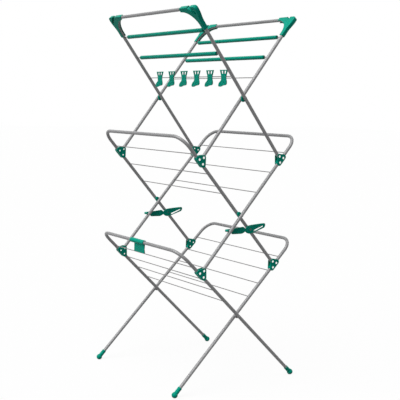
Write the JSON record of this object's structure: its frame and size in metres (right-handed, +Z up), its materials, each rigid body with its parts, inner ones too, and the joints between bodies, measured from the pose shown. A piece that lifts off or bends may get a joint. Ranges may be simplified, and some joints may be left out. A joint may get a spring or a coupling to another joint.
{
  "type": "folding clothes airer",
  "caption": "Free-standing folding clothes airer: scissor-linked bent-tube frames in tiers, with cross wires, sleeved hanging rods, hook levers, sock pegs and moulded corners.",
  "frame": {"origin": "on the floor at the centre of the footprint, under the frames' crossings", "axes": "+Z up, +X along the bars to the right as seen from the front, -Y to the front"},
  "size_m": [0.607, 0.5746, 1.4091],
  "materials": {
    "coated_steel": "smooth grey coating with a soft shine",
    "bright_steel": "bright drawn wire",
    "green_plastic": "moulded plastic with a satin skin"
  },
  "bodies": {
    "lower_rear_frame": {"lower_rear_frame_tube": "coated_steel", "lower_rear_left_foot": "green_plastic", "lower_rear_left_knee_bracket": "green_plastic", "lower_rear_right_foot": "green_plastic", "lower_rear_right_knee_bracket": "green_plastic", "lower_rear_wire_1": "bright_steel", "lower_rear_wire_2": "bright_steel", "lower_rear_wire_3": "bright_steel", "lower_rear_wire_4": "bright_steel", "lower_left_crossing_pivot": "coated_steel", "lower_right_crossing_pivot": "coated_steel"},
    "lower_front_frame": {"lower_front_frame_tube": "coated_steel", "lower_front_left_foot": "green_plastic", "lower_front_left_knee_bracket": "green_plastic", "lower_front_right_foot": "green_plastic", "lower_front_right_knee_bracket": "green_plastic", "lower_front_wire_1": "bright_steel", "lower_front_wire_2": "bright_steel", "lower_front_wire_3": "bright_steel", "lower_front_wire_4": "bright_steel"},
    "middle_rear_frame": {"middle_rear_frame_tube": "coated_steel", "middle_rear_left_knee_bracket": "green_plastic", "middle_rear_right_knee_bracket": "green_plastic", "middle_rear_wire_1": "bright_steel", "middle_rear_wire_2": "bright_steel", "middle_rear_wire_3": "bright_steel", "middle_left_crossing_pivot": "green_plastic", "middle_right_crossing_pivot": "green_plastic"},
    "middle_front_frame": {"middle_front_frame_tube": "coated_steel", "middle_front_left_knee_bracket": "green_plastic", "middle_front_right_knee_bracket": "green_plastic", "middle_front_wire_1": "bright_steel", "middle_front_wire_2": "bright_steel", "middle_front_wire_3": "bright_steel", "left_lever_pin": "bright_steel", "right_lever_pin": "bright_steel"},
    "top_rear_frame": {"top_rear_frame_tube": "coated_steel", "top_rear_hanging_rod_1": "green_plastic", "top_rear_hanging_rod_2": "green_plastic", "top_rear_left_corner": "green_plastic", "top_rear_right_corner": "green_plastic", "top_rear_wire_1": "bright_steel", "top_left_crossing_pivot": "green_plastic", "top_right_crossing_pivot": "green_plastic"},
    "top_front_frame": {"top_front_frame_tube": "coated_steel", "top_front_hanging_rod_1": "green_plastic", "top_front_hanging_rod_2": "green_plastic", "top_front_left_corner": "green_plastic", "top_front_right_corner": "green_plastic", "top_front_wire_1": "bright_steel"},
    "left_lever": {"left_hook_lever": "green_plastic"},
    "right_lever": {"right_hook_lever": "green_plastic"},
    "clip": {"storage_clip": "green_plastic"},
    "peg_1": {"sock_peg_1": "green_plastic"},
    "peg_2": {"sock_peg_2": "green_plastic"},
    "peg_3": {"sock_peg_3": "green_plastic"},
    "peg_4": {"sock_peg_4": "green_plastic"},
    "peg_5": {"sock_peg_5": "green_plastic"},
    "peg_6": {"sock_peg_6": "green_plastic"}
  },
  "joints": [
    {"name": "fold", "type": "hinge", "parent": "lower_rear_frame", "child": "lower_front_frame", "pos_m": [0, 0, 0.27321], "axis": [-1, 0, 0], "range_deg": [0, 70]},
    {"name": "lower_knee", "type": "hinge", "parent": "lower_front_frame", "child": "middle_rear_frame", "pos_m": [0, -0.1737, 0.46533], "axis": [-1, 0, 0], "range_deg": [-70, 0]},
    {"name": "middle_scissor", "type": "hinge", "parent": "middle_rear_frame", "child": "middle_front_frame", "pos_m": [0, 0, 0.65745], "axis": [-1, 0, 0], "range_deg": [0, 70]},
    {"name": "middle_knee", "type": "hinge", "parent": "middle_front_frame", "child": "top_rear_frame", "pos_m": [0, -0.17268, 0.87531], "axis": [-1, 0, 0], "range_deg": [-70, 0]},
    {"name": "top_scissor", "type": "hinge", "parent": "top_rear_frame", "child": "top_front_frame", "pos_m": [0, 0, 1.09318], "axis": [-1, 0, 0], "range_deg": [0, 70]},
    {"name": "left_lever_turn", "type": "hinge", "parent": "middle_front_frame", "child": "left_lever", "pos_m": [-0.277, 0.05164, 0.60033], "axis": [-1, 0, 0], "range_deg": [0, 25]},
    {"name": "right_lever_turn", "type": "hinge", "parent": "middle_front_frame", "child": "right_lever", "pos_m": [0.277, 0.05164, 0.60033], "axis": [-1, 0, 0], "range_deg": [0, 25]},
    {"name": "storage_clip_turn", "type": "hinge", "parent": "lower_front_frame", "child": "clip", "pos_m": [0, -0.27959, 0.54219], "axis": [1, 0, 0], "range_deg": [-45, 90]},
    {"name": "peg_1_swing", "type": "hinge", "parent": "top_front_frame", "child": "peg_1", "pos_m": [-0.18855, -0.06041, 1.16939], "axis": [1, 0, 0], "range_deg": [-25, 25]},
    {"name": "peg_2_swing", "type": "hinge", "parent": "top_front_frame", "child": "peg_2", "pos_m": [-0.10405, -0.06041, 1.16939], "axis": [1, 0, 0], "range_deg": [-25, 25]},
    {"name": "peg_3_swing", "type": "hinge", "parent": "top_front_frame", "child": "peg_3", "pos_m": [-0.01955, -0.06041, 1.16939], "axis": [1, 0, 0], "range_deg": [-25, 25]},
    {"name": "peg_4_swing", "type": "hinge", "parent": "top_front_frame", "child": "peg_4", "pos_m": [0.06495, -0.06041, 1.16939], "axis": [1, 0, 0], "range_deg": [-25, 25]},
    {"name": "peg_5_swing", "type": "hinge", "parent": "top_front_frame", "child": "peg_5", "pos_m": [0.14945, -0.06041, 1.16939], "axis": [1, 0, 0], "range_deg": [-25, 25]},
    {"name": "peg_6_swing", "type": "hinge", "parent": "top_front_frame", "child": "peg_6", "pos_m": [0.23395, -0.06041, 1.16939], "axis": [1, 0, 0], "range_deg": [-25, 25]}
  ],
  "couplings": [
    {"joint": "lower_knee", "follows": "fold", "ratio": -1},
    {"joint": "middle_scissor", "follows": "fold", "ratio": 1},
    {"joint": "middle_knee", "follows": "fold", "ratio": -1},
    {"joint": "top_scissor", "follows": "fold", "ratio": 1}
  ]
}
